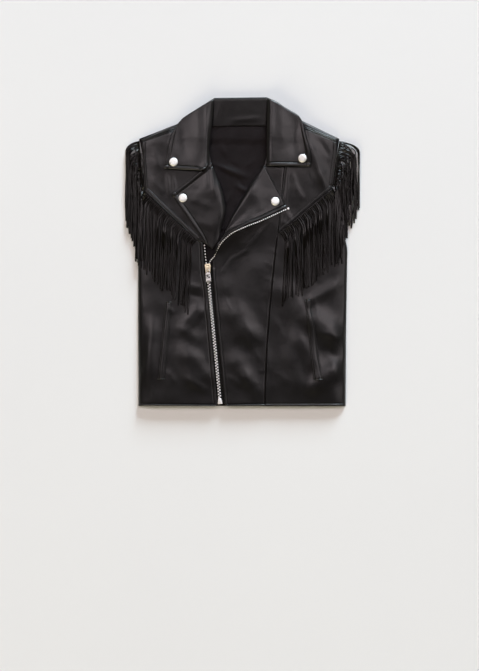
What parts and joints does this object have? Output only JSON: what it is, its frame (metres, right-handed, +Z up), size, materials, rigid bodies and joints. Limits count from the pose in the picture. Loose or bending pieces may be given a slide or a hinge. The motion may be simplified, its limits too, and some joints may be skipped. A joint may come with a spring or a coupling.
{
  "type": "fringed faux leather vest",
  "caption": "Sleeveless biker vest in smooth black faux leather with notched lapels, a slanting zip, welt pockets and fringe on yokes and armholes, lying flat.",
  "frame": {"origin": "middle of the bounding box, on the surface that the vest lies on", "axes": "+X to the right seen from above, +Y from hem to collar, +Z up out of the fronts"},
  "size_m": [0.468, 0.616, 0.0274],
  "materials": {
    "leather": "smooth satin faux leather",
    "fringe": "glossy cut faux leather",
    "metal": "bright nickel plate",
    "snap": "satin nickel plate",
    "tape": "woven zip tape",
    "lining": "satin polyester lining"
  },
  "bodies": {
    "vest": {"back_panel": "leather", "front_left": "leather", "front_right_centre": "leather", "front_right_side": "leather", "yoke_left": "leather", "yoke_right": "leather", "shoulder_band_left": "leather", "shoulder_band_right": "leather", "armhole_strip_left": "leather", "armhole_strip_right": "leather", "yoke_strip_left": "leather", "yoke_strip_right": "leather", "lapel_left": "leather", "lapel_right": "leather", "collar_left": "leather", "collar_right": "leather", "collar_stand": "leather", "collar_fall": "leather", "pocket_welt_left": "leather", "pocket_welt_right": "leather", "fringe_yoke_left": "fringe", "fringe_yoke_right": "fringe", "fringe_armhole_left": "fringe", "fringe_armhole_right": "fringe", "zip_teeth_closed": "metal", "zip_teeth_left": "metal", "zip_teeth_right": "metal", "zip_slider": "metal", "zip_end_box": "metal", "snap_collar_left": "snap", "snap_lapel_left": "snap", "snap_lapel_right": "snap", "snap_collar_right": "snap", "zip_tape_left": "tape", "zip_tape_right": "tape", "back_lining": "lining"},
    "pull": {"zip_pull": "metal"}
  },
  "joints": [
    {"name": "pull_hinge", "type": "hinge", "parent": "vest", "child": "pull", "pos_m": [-0.06966, -0.036, 0.01337], "axis": [-0.9986, -0.0523, 0], "range_deg": [0, 150]}
  ]
}
